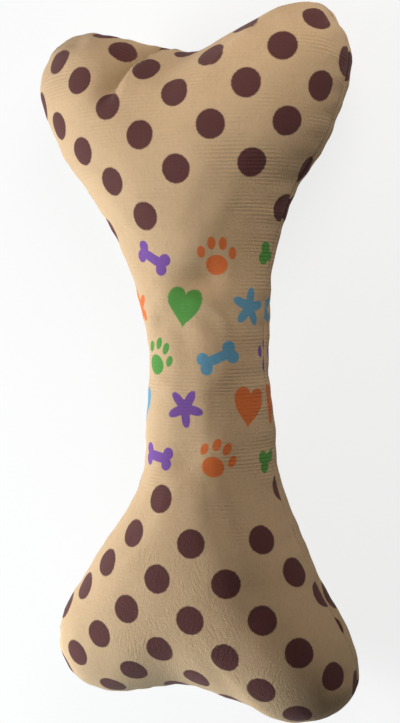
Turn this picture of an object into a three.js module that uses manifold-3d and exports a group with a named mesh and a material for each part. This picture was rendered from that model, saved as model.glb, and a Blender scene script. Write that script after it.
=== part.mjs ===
import * as THREE from "three";
import { mergeVertices } from "three/addons/utils/BufferGeometryUtils.js";
import Module from "manifold-3d";

// Stuffed bone-shaped dog toy: two plush panels sewn round their edge over wads of fibre and a squeaker.
// Millimetres, +Z up. It lies on its back panel with its length along Y, the upper end towards +Y.
// The origin is on the resting surface, under the middle of the outline.

// Fits
const CLEARANCE = 0.3;

// Cloth and thread
const FABRIC = 1.2;
const THREAD_DIAMETER = 0.5;
const CLOSING_LENGTH = 50;
const LADDER_PITCH = 5;

// Squeaker: a soft capsule with a spout, and how far a squeeze presses its top
const BLADDER_DIAMETER = 30;
const BLADDER_HEIGHT = 16;
const BLADDER_WALL = 0.8;
const BLADDER_ROUNDNESS = 2.6;
const SPOUT_LENGTH = 4;
const SQUEEZE_TRAVEL = 8;

// Reed insert in the spout
const TUBE_DIAMETER = 6.4;
const TUBE_WALL = 0.8;
const TUBE_HEADROOM = 1.9;
const FLANGE_DIAMETER = 10;
const FLANGE_THICKNESS = 0.8;
const REED_THICKNESS = 0.2;
const REED_WIDTH = 3.2;
const REED_FREE_GAP = 0.4;
const REED_SETBACK = 0.5;
const WEDGE_LENGTH = 3.2;
const AIR_CHANNEL_DIAMETER = 1.8;

// Wads round the squeaker
const SIDE_STUFFING = 1;
const PAD_DIAMETER = 22;
const PAD_FLOOR = 2.8;

// Swell of the ends: height over the seam, how full the section is, and the flat that it rests on
const END_RISE = 24.5;
const FULLNESS = 0.85;
const REST_DEPTH = 0.5;
const GRIP_HALF_LENGTH = 22;

// Where the wads in the lobes meet the wad in the shaft
const SHAFT_WAD_END = 30;

// Outline: the side edges at stations along the bone, the four lobes and the notches between them
const WAIST = { x: 2.8, y: 4 };
const LOWER_FLARE = { y: -68, left: -37.1, right: 37.9 };
const LOWER_NECK = { y: -40, left: -18.8, right: 26 };
const LOWER_GRIP = { y: -22, left: -17.2, right: 23.8 };
const UPPER_NECK = { y: 36, left: -27, right: 25.2 };
const UPPER_SHOULDER = { y: 51, left: -36, right: 31 };
const UPPER_FLARE = { y: 68, left: -48.2, right: 42.6 };
const UPPER_RIGHT_LOBE = { x: 34.9, y: 92.3, radius: 14.2, facing: 45 };
const UPPER_LEFT_LOBE = { x: -38.9, y: 89.3, radius: 15.4, facing: 135 };
const LOWER_LEFT_LOBE = { x: -33.3, y: -93.2, radius: 17.1, facing: 225 };
const LOWER_RIGHT_LOBE = { x: 34.5, y: -96.4, radius: 16.3, facing: 315 };
const UPPER_NOTCH = { x: 1.2, y: 94.5 };
const LOWER_NOTCH = { x: -0.9, y: -105.3 };
const LOBE_HALF_ARC = 52;

// Facets
const STEPS_PER_SPAN = 3;
const STUFFING_RINGS = 3;
const PANEL_RINGS_PER_STUFFING_RING = 2;
const ROUND_SEGMENTS = 24;
const CAPSULE_STEPS = 7;
const THREAD_SIDES = 6;
const THREAD_STEP = 8;

// Sizes that follow from the ones above
const rimGap = THREAD_DIAMETER + 2 * CLEARANCE;
const rimWidth = 2 * FABRIC;
const tubeRadius = TUBE_DIAMETER / 2;
const boreRadius = tubeRadius - TUBE_WALL;
const spoutBore = tubeRadius + CLEARANCE;
const spoutRadius = spoutBore + BLADDER_WALL;
const flangeTop = -BLADDER_HEIGHT / 2 - SPOUT_LENGTH - CLEARANCE;
const tubeBottom = flangeTop - FLANGE_THICKNESS;
const tubeTop = BLADDER_HEIGHT / 2 - BLADDER_WALL - SQUEEZE_TRAVEL - TUBE_HEADROOM;
const insertBottom = tubeBottom + REED_SETBACK;
const insertTop = tubeTop - REED_SETBACK;
const padBottom = tubeBottom - CLEARANCE - PAD_FLOOR;
const shaftRise = -padBottom + CLEARANCE + FABRIC - rimGap / 2;
const waistHalfWidth = BLADDER_DIAMETER / 2 + SIDE_STUFFING + 2 * CLEARANCE + rimWidth;
const seamHeight = rimGap / 2 + END_RISE - REST_DEPTH;
const panelRings = STUFFING_RINGS * PANEL_RINGS_PER_STUFFING_RING;
const FAR = 1000;

const wasm = await Module();
wasm.setup();

// Keeps positions only, joins shared vertices, drops collapsed triangles and turns the faces outwards
function closedSurface(geometry) {
  const bare = new THREE.BufferGeometry();
  bare.setAttribute("position", geometry.getAttribute("position"));
  bare.setIndex(geometry.getIndex());
  const joined = mergeVertices(bare, 1e-4);
  const index = joined.getIndex().array;
  const position = joined.getAttribute("position");
  const corner = [0, 1, 2].map(() => new THREE.Vector3());
  const kept = [];
  let volume = 0;
  for (let i = 0; i < index.length; i += 3) {
    const triangle = [index[i], index[i + 1], index[i + 2]];
    if (new Set(triangle).size < 3) continue;
    kept.push(...triangle);
    corner.forEach((point, k) => point.fromBufferAttribute(position, triangle[k]));
    volume += corner[0].dot(corner[1].cross(corner[2]));
  }
  if (volume < 0) kept.reverse();
  joined.setIndex(kept);
  return joined;
}

function toManifold(geometry) {
  const surface = closedSurface(geometry);
  const vertProperties = Float32Array.from(surface.getAttribute("position").array);
  const triVerts = Uint32Array.from(surface.getIndex().array);
  return new wasm.Manifold(new wasm.Mesh({ numProp: 3, vertProperties, triVerts }));
}

function fromManifold(solid) {
  const mesh = solid.getMesh();
  const geometry = new THREE.BufferGeometry();
  geometry.setAttribute("position", new THREE.BufferAttribute(mesh.vertProperties, 3));
  geometry.setIndex(new THREE.BufferAttribute(mesh.triVerts, 1));
  return geometry;
}

// Profile of [radius, height] pairs turned about the Z axis
function turned(profile) {
  const points = profile.map(([radius, height]) => new THREE.Vector2(radius, height));
  const lathe = new THREE.LatheGeometry(points, ROUND_SEGMENTS);
  lathe.rotateX(Math.PI / 2);
  return closedSurface(lathe);
}

function cylinder(radius, bottom, top) {
  return turned([[0, bottom], [radius, bottom], [radius, top], [0, top]]);
}

function block(from, to) {
  const size = new THREE.Vector3().subVectors(to, from);
  const middle = new THREE.Vector3().addVectors(from, to).divideScalar(2);
  const box = new THREE.BoxGeometry(size.x, size.y, size.z);
  box.translate(middle.x, middle.y, middle.z);
  return toManifold(box);
}

// Outline in plan, counter-clockwise from the lower right flare, with its box centred on the origin
const waist = { y: WAIST.y, left: WAIST.x - waistHalfWidth, right: WAIST.x + waistHalfWidth };
const lowerStations = [LOWER_FLARE, LOWER_NECK, LOWER_GRIP];
const upperStations = [UPPER_NECK, UPPER_SHOULDER, UPPER_FLARE];
const stations = [...lowerStations, waist, ...upperStations];

function lobePoints(lobe) {
  return [-LOBE_HALF_ARC, 0, LOBE_HALF_ARC].map((turn) => {
    const angle = THREE.MathUtils.degToRad(lobe.facing + turn);
    const x = lobe.x + lobe.radius * Math.cos(angle);
    return new THREE.Vector3(x, lobe.y + lobe.radius * Math.sin(angle), 0);
  });
}

function outlineCurve() {
  const rightEdge = stations.map((station) => new THREE.Vector3(station.right, station.y, 0));
  const leftEdge = stations.map((station) => new THREE.Vector3(station.left, station.y, 0));
  const upperNotch = new THREE.Vector3(UPPER_NOTCH.x, UPPER_NOTCH.y, 0);
  const lowerNotch = new THREE.Vector3(LOWER_NOTCH.x, LOWER_NOTCH.y, 0);
  const upperEnd = [...lobePoints(UPPER_RIGHT_LOBE), upperNotch, ...lobePoints(UPPER_LEFT_LOBE)];
  const lowerEnd = [...lobePoints(LOWER_LEFT_LOBE), lowerNotch, ...lobePoints(LOWER_RIGHT_LOBE)];
  const points = [...rightEdge, ...upperEnd, ...leftEdge.reverse(), ...lowerEnd];
  return new THREE.CatmullRomCurve3(points, true, "centripetal");
}

const curve = outlineCurve();
const edge = curve.getPoints(curve.points.length * STEPS_PER_SPAN).slice(0, -1);
const plan = new THREE.Box3().setFromPoints(edge);
const planMiddle = plan.getCenter(new THREE.Vector3());
edge.forEach((point) => point.sub(planMiddle));

// Spine: the middle between the two side edges. Every edge point has its place along it.
const sideSteps = (stations.length - 1) * STEPS_PER_SPAN;
const leftEnd = edge.length / 2 + sideSteps;

function spinePlace(i) {
  const onRight = i <= sideSteps;
  const along = onRight ? i : leftEnd - i;
  return THREE.MathUtils.clamp(along, 0, i > leftEnd ? 0 : sideSteps);
}

const spine = [];
for (let k = 0; k <= sideSteps; k += 1) {
  spine.push(new THREE.Vector3().addVectors(edge[k], edge[leftEnd - k]).divideScalar(2));
}

const waistPlace = lowerStations.length * STEPS_PER_SPAN;
const squeakerCentre = new THREE.Vector3(spine[waistPlace].x, spine[waistPlace].y, seamHeight);

// Height of the crown over the seam: low along the grip, rising smoothly to the ends
function crownRise(k) {
  const fromWaist = Math.abs(spine[k].y - squeakerCentre.y);
  const end = k > waistPlace ? spine[sideSteps] : spine[0];
  const endDistance = Math.abs(end.y - squeakerCentre.y);
  const swell = THREE.MathUtils.smoothstep(fromWaist, GRIP_HALF_LENGTH, endDistance);
  return THREE.MathUtils.lerp(shaftRise, END_RISE, swell);
}

// Half of the stuffed form over or under the seam: vertices in rings from the spine out to the rim
function halfForm(side) {
  const points = spine.map((point, k) => new THREE.Vector3(point.x, point.y, crownRise(k)));
  for (let ring = 1; ring <= panelRings; ring += 1) {
    const angle = (ring / panelRings) * (Math.PI / 2);
    const reach = Math.sin(angle) ** FULLNESS;
    edge.forEach((point, i) => {
      const place = spinePlace(i);
      const vertex = new THREE.Vector3().lerpVectors(spine[place], point, reach);
      vertex.z = ring === panelRings ? 0 : crownRise(place) * Math.cos(angle);
      points.push(vertex);
    });
  }
  points.forEach((point) => {
    point.z = seamHeight + side * (rimGap / 2 + point.z);
  });
  return points;
}

function vertexAt(ring, i) {
  const wrapped = i % edge.length;
  return ring === 0 ? spinePlace(wrapped) : spine.length + (ring - 1) * edge.length + wrapped;
}

// Triangles between rings, which face up on the front half
function formTriangles(stride) {
  const triangles = [];
  for (let ring = 0; ring < panelRings; ring += stride) {
    for (let i = 0; i < edge.length; i += 1) {
      const inner = [vertexAt(ring, i), vertexAt(ring, i + 1)];
      const outer = [vertexAt(ring + stride, i), vertexAt(ring + stride, i + 1)];
      triangles.push([inner[0], outer[0], outer[1]]);
      if (inner[0] !== inner[1]) triangles.push([inner[0], outer[1], inner[1]]);
    }
  }
  return triangles;
}

function geometryOf(points, triangles) {
  const geometry = new THREE.BufferGeometry().setFromPoints(points);
  geometry.setIndex(triangles.flat());
  return geometry;
}

// The same half form drawn in, by one distance over the cloth and by another at the rim
function drawnIn(points, side, distance, rimDistance) {
  const surface = geometryOf(points, formTriangles(1));
  surface.computeVertexNormals();
  const normals = surface.getAttribute("normal");
  const normal = new THREE.Vector3();
  const rimStart = vertexAt(panelRings, 0);
  return points.map((point, i) => {
    normal.fromBufferAttribute(normals, i).multiplyScalar(side);
    if (i < rimStart) return point.clone().addScaledVector(normal, -distance);
    normal.setZ(0).normalize();
    return point.clone().addScaledVector(normal, -rimDistance);
  });
}

// Band of triangles that joins the rims of two halves kept in one list of vertices
function rimBand(offset) {
  const triangles = [];
  for (let i = 0; i < edge.length; i += 1) {
    const near = [vertexAt(panelRings, i), vertexAt(panelRings, i + 1)];
    const far = near.map((vertex) => vertex + offset);
    triangles.push([near[0], far[0], far[1]], [near[0], far[1], near[1]]);
  }
  return triangles;
}

function joinedHalves(first, second, stride) {
  const offset = first.length;
  const near = formTriangles(stride);
  const far = near.map(([a, b, c]) => [a + offset, c + offset, b + offset]);
  const geometry = geometryOf([...first, ...second], [...near, ...far, ...rimBand(offset)]);
  return closedSurface(geometry);
}

// One plush panel: cloth of even thickness, doubled at the rim where the seam allowance folds back
function panel(side) {
  const outside = halfForm(side);
  const inside = drawnIn(outside, side, FABRIC, rimWidth);
  return joinedHalves(outside, inside, 1);
}

// The back panel rests on a flat under each end
function backPanel() {
  const floor = block(new THREE.Vector3(-FAR, -FAR, -FAR), new THREE.Vector3(FAR, FAR, 0));
  return fromManifold(toManifold(panel(-1)).subtract(floor));
}

// The room inside the cover, less the clearance that the stuffing keeps to the cloth
function stuffingRoom() {
  const halves = [1, -1].map((side) => {
    return drawnIn(halfForm(side), side, FABRIC + CLEARANCE, rimWidth + CLEARANCE);
  });
  return toManifold(joinedHalves(halves[0], halves[1], PANEL_RINGS_PER_STUFFING_RING));
}

// Outer profile of the squeaker capsule, from its top on the axis down to the given radius below
function capsuleProfile(radius, halfHeight, lastRadius) {
  const points = [];
  for (let step = 0; step <= 2 * CAPSULE_STEPS; step += 1) {
    const angle = Math.PI / 2 - (step / CAPSULE_STEPS) * (Math.PI / 2);
    const across = Math.abs(Math.cos(angle)) ** (2 / BLADDER_ROUNDNESS);
    const up = Math.sign(Math.sin(angle)) * Math.abs(Math.sin(angle)) ** (2 / BLADDER_ROUNDNESS);
    const beyond = up < 0 && radius * across <= lastRadius;
    if (!beyond) points.push([step === 0 ? 0 : radius * across, halfHeight * up]);
  }
  return points;
}

// Soft capsule open at its spout, as one wall that runs outside, round the spout's end and back inside
function bladder() {
  const spoutEnd = -BLADDER_HEIGHT / 2 - SPOUT_LENGTH;
  const outside = capsuleProfile(BLADDER_DIAMETER / 2, BLADDER_HEIGHT / 2, spoutRadius);
  const innerRadius = BLADDER_DIAMETER / 2 - BLADDER_WALL;
  const innerHalf = BLADDER_HEIGHT / 2 - BLADDER_WALL;
  const inside = capsuleProfile(innerRadius, innerHalf, spoutBore);
  const outerFoot = [spoutRadius, -BLADDER_HEIGHT / 2];
  const innerFoot = [spoutBore, -innerHalf];
  const spout = [outerFoot, [spoutRadius, spoutEnd], [spoutBore, spoutEnd], innerFoot];
  return turned([...outside, ...spout, ...inside.reverse()]);
}

// Room that the squeaker takes out of the wads: the capsule, its spout and the flange under it
function squeakerRoom() {
  const radius = BLADDER_DIAMETER / 2 + CLEARANCE;
  const capsule = capsuleProfile(radius, BLADDER_HEIGHT / 2 + CLEARANCE, 0);
  capsule.push([0, -BLADDER_HEIGHT / 2 - CLEARANCE]);
  const stemRadius = Math.max(FLANGE_DIAMETER / 2, spoutRadius) + CLEARANCE;
  const stem = cylinder(stemRadius, tubeBottom - CLEARANCE, 0);
  return toManifold(turned(capsule)).add(toManifold(stem)).translate(squeakerCentre.toArray());
}

// Upright column of the given radius through the squeaker
function column(radius, bottom, top) {
  return toManifold(cylinder(radius, bottom, top)).translate(squeakerCentre.toArray());
}

const room = stuffingRoom();
const taken = squeakerRoom();

function shaftWad() {
  const from = new THREE.Vector3(-FAR, -SHAFT_WAD_END, -FAR);
  const to = new THREE.Vector3(FAR, SHAFT_WAD_END, FAR);
  const well = column(PAD_DIAMETER / 2 + CLEARANCE, -FAR, FAR);
  return fromManifold(room.intersect(block(from, to)).subtract(taken).subtract(well));
}

// Wad in one lobe, beyond the shaft's wad and on its own side of the spine
function lobeWad(end, hand) {
  const middle = spine[end > 0 ? sideSteps : 0].x;
  const y = [end * (SHAFT_WAD_END + CLEARANCE), end * FAR].sort((a, b) => a - b);
  const x = [middle + (hand * CLEARANCE) / 2, hand * FAR].sort((a, b) => a - b);
  const from = new THREE.Vector3(x[0], y[0], -FAR);
  return fromManifold(room.intersect(block(from, new THREE.Vector3(x[1], y[1], FAR))));
}

function frontPad() {
  return fromManifold(room.intersect(column(PAD_DIAMETER / 2, 0, FAR)).subtract(taken));
}

function backPad() {
  return fromManifold(room.intersect(column(PAD_DIAMETER / 2, -FAR, 0)).subtract(taken));
}

// Flanged tube that plugs the spout
function reedTube() {
  return turned([
    [boreRadius, tubeBottom],
    [FLANGE_DIAMETER / 2, tubeBottom],
    [FLANGE_DIAMETER / 2, flangeTop],
    [tubeRadius, flangeTop],
    [tubeRadius, tubeTop],
    [boreRadius, tubeTop],
    [boreRadius, tubeBottom],
  ]);
}

// Half-round filler of the tube on one side of the reed, with an air channel in its flat face or none
function halfRound(hand, bottom, top, channelRadius) {
  const radius = boreRadius - CLEARANCE;
  const face = REED_THICKNESS / 2 + REED_FREE_GAP;
  const corner = Math.acos(face / radius);
  const shape = new THREE.Shape();
  shape.absarc(0, 0, radius, -corner, corner, false);
  if (channelRadius > 0) shape.absarc(face, 0, channelRadius, Math.PI / 2, -Math.PI / 2, true);
  shape.closePath();
  const options = { depth: top - bottom, bevelEnabled: false, curveSegments: ROUND_SEGMENTS / 2 };
  const geometry = new THREE.ExtrudeGeometry(shape, options);
  geometry.translate(0, 0, bottom);
  if (hand < 0) geometry.rotateZ(Math.PI);
  return closedSurface(geometry);
}

// Springy strip with a round tip, upright in the tube and standing across X
function reed() {
  const half = REED_WIDTH / 2;
  const shape = new THREE.Shape();
  shape.moveTo(-half, insertBottom);
  shape.lineTo(half, insertBottom);
  shape.absarc(0, insertTop - half, half, 0, Math.PI, false);
  shape.closePath();
  const options = { depth: REED_THICKNESS, bevelEnabled: false, curveSegments: ROUND_SEGMENTS / 2 };
  const strip = new THREE.ExtrudeGeometry(shape, options);
  strip.translate(0, 0, -REED_THICKNESS / 2);
  strip.rotateX(Math.PI / 2);
  strip.rotateZ(Math.PI / 2);
  return closedSurface(strip);
}

// Points of the seam, between the doubled rims, at a distance in from the outline
function seamPoints(depthAt) {
  const count = Math.round(curve.getLength() / (LADDER_PITCH / 2));
  const points = curve.getSpacedPoints(count).slice(0, -1);
  points.forEach((point) => point.sub(planMiddle));
  return points.map((point, i) => {
    const next = points[(i + 1) % count];
    const last = points[(i + count - 1) % count];
    const inward = new THREE.Vector3(last.y - next.y, next.x - last.x, 0).normalize();
    return point.clone().addScaledVector(inward, depthAt(i)).setZ(seamHeight);
  });
}

function isClosing(point) {
  const along = Math.abs(point.y - squeakerCentre.y);
  return point.x > squeakerCentre.x && along <= CLOSING_LENGTH / 2;
}

function threadAlong(points, steps) {
  const section = new THREE.Shape();
  for (let i = 0; i < THREAD_SIDES; i += 1) {
    const angle = (i / THREAD_SIDES) * 2 * Math.PI;
    const x = (THREAD_DIAMETER / 2) * Math.cos(angle);
    const y = (THREAD_DIAMETER / 2) * Math.sin(angle);
    if (i === 0) section.moveTo(x, y);
    else section.lineTo(x, y);
  }
  section.closePath();
  const extrudePath = new THREE.CatmullRomCurve3(points, false, "centripetal");
  return closedSurface(new THREE.ExtrudeGeometry(section, { steps, extrudePath }));
}

// Machine seam: runs round the bone from the upper end of the turning gap to its lower end
function machineSeam() {
  const points = seamPoints(() => FABRIC);
  const start = points.findIndex((p, i) => isClosing(p) && !isClosing(points[i + 1])) + 1;
  const ordered = [...points.slice(start), ...points.slice(0, start)].filter((p) => !isClosing(p));
  const steps = Math.round(curve.getLength() / THREAD_STEP);
  return threadAlong(ordered, steps);
}

// Hand stitch over the turning gap: it wanders from side to side between the folds
function closingStitch() {
  const points = seamPoints((i) => (i % 2 === 0 ? 0.5 : 1.5) * FABRIC).filter(isClosing);
  const clear = points.slice(1, -1);
  return threadAlong(clear, 2 * clear.length);
}

const toy = new THREE.Group();
const squeaker = new THREE.Group();
squeaker.position.copy(squeakerCentre);
toy.add(squeaker);

function finish(color, roughness) {
  return new THREE.MeshStandardMaterial({ color, roughness, metalness: 0 });
}

const PLUSH = finish(0xcdb08c, 0.95);
const THREAD = finish(0xb79a76, 0.8);
const FIBRE = finish(0xf1eee6, 1);
const SOFT_PLASTIC = finish(0xe9ece8, 0.4);
const HARD_PLASTIC = finish(0xf5f3ee, 0.35);

function add(parent, name, geometry, material) {
  const mesh = new THREE.Mesh(geometry, material.clone());
  mesh.name = name;
  parent.add(mesh);
}

add(toy, "front_panel", panel(1), PLUSH);
add(toy, "back_panel", backPanel(), PLUSH);
add(toy, "machine_seam_thread", machineSeam(), THREAD);
add(toy, "closing_thread", closingStitch(), THREAD);
add(toy, "fill_shaft", shaftWad(), FIBRE);
add(toy, "fill_upper_left_lobe", lobeWad(1, -1), FIBRE);
add(toy, "fill_upper_right_lobe", lobeWad(1, 1), FIBRE);
add(toy, "fill_lower_left_lobe", lobeWad(-1, -1), FIBRE);
add(toy, "fill_lower_right_lobe", lobeWad(-1, 1), FIBRE);
add(toy, "front_pad", frontPad(), FIBRE);
add(toy, "back_pad", backPad(), FIBRE);
add(squeaker, "squeaker_bladder", bladder(), SOFT_PLASTIC);
add(squeaker, "reed_tube", reedTube(), HARD_PLASTIC);
add(squeaker, "reed_seat", halfRound(-1, insertBottom, insertTop, AIR_CHANNEL_DIAMETER / 2), HARD_PLASTIC);
add(squeaker, "reed_wedge", halfRound(1, insertBottom, insertBottom + WEDGE_LENGTH, 0), HARD_PLASTIC);
add(squeaker, "reed", reed(), SOFT_PLASTIC);

export default toy;
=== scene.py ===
import math

import bpy
import numpy as np
from mathutils import Matrix, Vector, kdtree, noise


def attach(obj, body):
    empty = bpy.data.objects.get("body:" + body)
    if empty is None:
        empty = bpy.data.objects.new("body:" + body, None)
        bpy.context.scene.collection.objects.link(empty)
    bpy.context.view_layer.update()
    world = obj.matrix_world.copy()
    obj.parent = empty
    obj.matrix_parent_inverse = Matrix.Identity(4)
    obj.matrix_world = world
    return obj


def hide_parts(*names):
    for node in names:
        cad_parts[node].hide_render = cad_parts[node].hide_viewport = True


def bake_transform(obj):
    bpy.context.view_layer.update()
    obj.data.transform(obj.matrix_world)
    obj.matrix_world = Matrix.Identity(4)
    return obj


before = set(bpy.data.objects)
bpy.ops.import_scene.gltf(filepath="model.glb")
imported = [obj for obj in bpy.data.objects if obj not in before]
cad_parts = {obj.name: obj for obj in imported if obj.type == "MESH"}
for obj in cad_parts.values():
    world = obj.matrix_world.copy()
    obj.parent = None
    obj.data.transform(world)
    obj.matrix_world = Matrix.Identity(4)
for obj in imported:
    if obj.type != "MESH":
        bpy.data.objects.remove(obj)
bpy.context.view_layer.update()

# Stuffed bone-shaped dog toy, lying on its back panel. Sizes here are millimetres, meshes are metres.
MM = 0.001

# Sewn outline in plan: side edges (y, left, right), lobes (x, y, radius, facing) and notches
STATIONS = [
    (-68, -37.1, 37.9),
    (-40, -18.8, 26),
    (-22, -17.2, 23.8),
    (4, -16.2, 21.8),
    (36, -27, 25.2),
    (51, -36, 31),
    (68, -48.2, 42.6),
]
WAIST_STATION = 3
UPPER_LOBES = [(34.9, 92.3, 14.2, 45), (-38.9, 89.3, 15.4, 135)]
LOWER_LOBES = [(-33.3, -93.2, 17.1, 225), (34.5, -96.4, 16.3, 315)]
UPPER_NOTCH = (1.2, 94.5)
LOWER_NOTCH = (-0.9, -105.3)
LOBE_HALF_ARC = 52

# Where the stuffing holds the edge a little off its sewn line: place, push along x and y, and reach
EDGE_PUSHES = [
    ((-49.5, 101), (1.3, -1.1), 6),
    ((-30, 107), (0.1, -0.9), 8),
    ((-7, 99.5), (0.2, 0.9), 8),
    ((27, 107), (0.5, -1.3), 8),
    ((41.5, 109), (0.3, 0.8), 4.5),
    ((48, 104), (-0.9, -0.8), 4.5),
    ((29, 46), (1, 0.2), 10),
    ((-16.5, 9), (0.8, 0), 10),
    ((51.5, -97), (1.1, -0.2), 7),
    ((23, -107.5), (0.4, 1.4), 7),
]

# Stuffed form over the seam
SHAFT_RISE = 17.95
END_RISE = 24.5
GRIP_HALF_LENGTH = 22
FULLNESS = 0.85
FABRIC = 1.2
RIM_HALF_GAP = 0.55
SEAM_HEIGHT = 24.55

# Mesh steps: along each span of the outline, and from the spine to the rim
STEPS = 16
RINGS = 38

# Rim rolled into the seam: (inset from the edge, height from the seam)
RIM_ROLL = [(0.5, 0.16), (1.3, 0.45)]

# Small lumps of the stuffing under the cloth of each side
LUMP_HEIGHT = 0.45
LUMP_SIZE = 17
LUMP_SEEDS = {1: 15, -1: 5}

# Gathers beside the seam, and how uneven they are
PUCKER_HEIGHT = 0.3
PUCKER_PITCH = 7.5
PUCKER_REACH = 9
PUCKER_START = 1.5
PUCKER_UNEVEN = {"size": 19, "seed": 3.1, "shift": 2.5, "least": 0.55}

# Marks on the front fade into the rim between these heights over it
MARK_FADE = (1, 8)
CREASE_FADE = (0.5, 4)

# The squeaker's rim under the cloth: a share of it shows below the squeaker's middle, all of it above
SQUEAKER_RIM = {"radius": 14.5, "height": 1.1, "spread": 2.4, "lower_share": 0.3, "turn": (-4, 10)}

# Dent in the cloth above the squeaker
DENT = {"place": (10.8, 26.2), "depth": 3.9, "across": 7, "above": 7, "below": 3.2}

# Crease, by the line of its bottom, and how far the bank on each side of it reaches
CREASE = {
    "line": [(-7.9, 101.5), (-11.1, 95.9), (-13.6, 93.5), (-15.3, 89.8), (-17.4, 85.8)],
    "depth": 3.6, "lobe_side": 4.2, "middle_side": 1.8, "fade": 5,
}

# Stuffing: the cover starts a little slack and is blown up as cloth, held along its seam
SLACK = 0.96
SKIN_RINGS = 14
SKIN_VOXEL = 4.5
SKIN_PRESSURE = 600
SKIN_MASS = 0.02
SKIN_BENDING = 0.2
SKIN_SPARE = 0.012
SKIN_FRAMES = 20
SWELL_CAP = 1.5
HELD_HEIGHT = 2.5
NEAR_POINTS = 8

# Wads of fibre: mesh size, how far they stay inside their solid, and the size and depth of tufts and curls
WAD_VOXEL = 2.6
WAD_INSET = 0.75
WAD_INSET_RANGE = (0.2, 1.4)
WAD_TUFT = (7, 0.35)
WAD_CURL = (2.6, 0.25)
WAD_SEED_STEP = 3.7
WAD_GAP = 0.8
WADS = [
    "fill_shaft", "fill_upper_left_lobe", "fill_upper_right_lobe", "fill_lower_left_lobe",
    "fill_lower_right_lobe", "front_pad", "back_pad",
]

# Threads: the machine seam, and the ladder stitch that closes the gap on the right of the shaft
SEAM_INSET = 1.35
STITCH_LENGTH = 2.5
STITCH_RISE = 0.1
STITCH_POINTS = 4
THREAD_RADIUS = 0.25
THREAD_SIDES = 8
CLOSING_LENGTH = 50
CLOSING_RADIUS = 0.9 * THREAD_RADIUS
LADDER_PITCH = 5
LADDER_RISE = 0.16
LADDER_SQUARENESS = 3
LADDER_POINTS = 10

# The squeaker's air bladder, with its parting line and the moulded rings on its top
BLADDER_RADIUS = 15
BLADDER_HALF_HEIGHT = 8
BLADDER_WALL = 0.8
BLADDER_ROUNDNESS = 2.6
BLADDER_SIDES = 64
PROFILE_POINTS = 61
SPOUT_LENGTH = 4
SPOUT_BORE = 3.5
SPOUT_BEVEL = 0.2
POLE_RADIUS = 0.01
PARTING_LINE = {"height": 0.12, "width": 0.5, "from": 10}
TOP_RINGS = {"turn": 1.3, "from": 2, "to": 11, "depth": 0.18}

# Dots: each print is a slanted lattice given by one dot's place, the steps to its two neighbours below it,
# and how it bends (terms of uu, uv and vv, for u and v in bend units from that dot)
DOT_RADIUS = 4.4
BEND_UNIT = 50
UPPER_PRINT = {
    "dot": (16, 71.8),
    "steps": [(11.64, -10.68), (-10.92, -11.94)],
    "bend": [(-0.13, 0.16, -0.13), (-0.14, -0.08, -0.31)],
}
LOWER_PRINT = {
    "dot": (19.9, -63.7),
    "steps": [(11.05, -10.96), (-11, -11.95)],
    "bend": [(0.21, 0, 0.29), (0.32, 0.02, 0)],
}
BACK_PRINT = {
    "dot": (5.4, -7.8),
    "steps": [(11.2, -10.7), (-11.05, -11.4)],
    "bend": [(0, 0, 0), (0, 0, 0)],
}
DOT_FUZZ = 0.9
DOT_SOFTNESS = 0.25

# Where the dots leave the shaft free: near its middle, and past the last rows right across and beside it
PRINT_BREAK = 24
BACK_BREAK = 41
LAST_FULL_ROW = 1.5
LAST_SIDE_ROW = 2.5
SIDE_COLUMN = 1.5

# Motifs on the shaft in staggered rows, in place of the dots
MOTIF_ROW = 15.2
MOTIF_COLUMN = 21
MOTIF_SIZE = 6.4
MOTIF_START = (4.5, -35)
MOTIF_ROWS = 5
MOTIF_TILT = 1.1
MOTIF_FUZZ = 0.14
MOTIF_SOFTNESS = 0.05
MOTIF_STRENGTH = 0.93
FLANK_COLUMN = -1.5
MOTIF_COLOURS = [
    (0.75, 0.16, 0.035),
    (0.06, 0.30, 0.05),
    (0.10, 0.34, 0.52),
    (0.17, 0.06, 0.36),
]

# Cloth colours
TAN = (0.71, 0.49, 0.295)
TAN_SHADE = (0.57, 0.38, 0.22)
# Painted shade: the darker tan the cloth takes along the crease in the upper left lobe, standing in for the
# crease's shadow
CREASE_PAINTED_SHADE = (0.44, 0.29, 0.155)
MAROON = (0.112, 0.040, 0.038)
MAROON_RANGE = (0.8, 1.25)
SHEEN_TINT = (1, 0.93, 0.84, 1)

# Knit: ribs across it that show in patches, and nap brushed two ways, which hides the ribs at the lower end
RIB_PITCH = 1.1
RIB_SWAY = 5
RIB_DEPTH = 0.5
RIB_PATCHES = (0.38, 0.68)
RIB_SHOWN = (0.1, 1)
RIB_STRETCH = {"sway": 0.05, "patches": 0.4}
RIB_BY_END = (0.2, 1)
NAP_LEANS = (-0.4, 0.35)
NAP_PATCHES = (0.4, 0.6)
STROKE_STRETCH = 0.28
STROKE_BY_END = (1.25, 0.9)
LESS_BRUSHED = (-60, -25)
PILE_HEIGHT = 0.3
PILE_STRENGTH = 0.7

# What makes the cloth lighter or darker, and the range of its sum
SHADE = {"rib": -0.08, "fleck": 0.5, "nap": 0.15, "worn": 0.42}
SHADE_RANGE = (0.13, 0.83)

# Noise on the cloth: scale per millimetre, detail and roughness
CLOTH_NOISE = {
    "rib_sway": (0.35, 1),
    "rib_patches": (0.09, 3),
    "nap": (2.2, 4, 0.75),
    "strokes": (1.5, 2, 0.6),
    "brushed": (0.1, 2),
    "worn": (0.045, 2),
    "dot_edge": (1.6, 3, 0.7),
    "motif_edge": (1.5, 3, 0.7),
}

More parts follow.
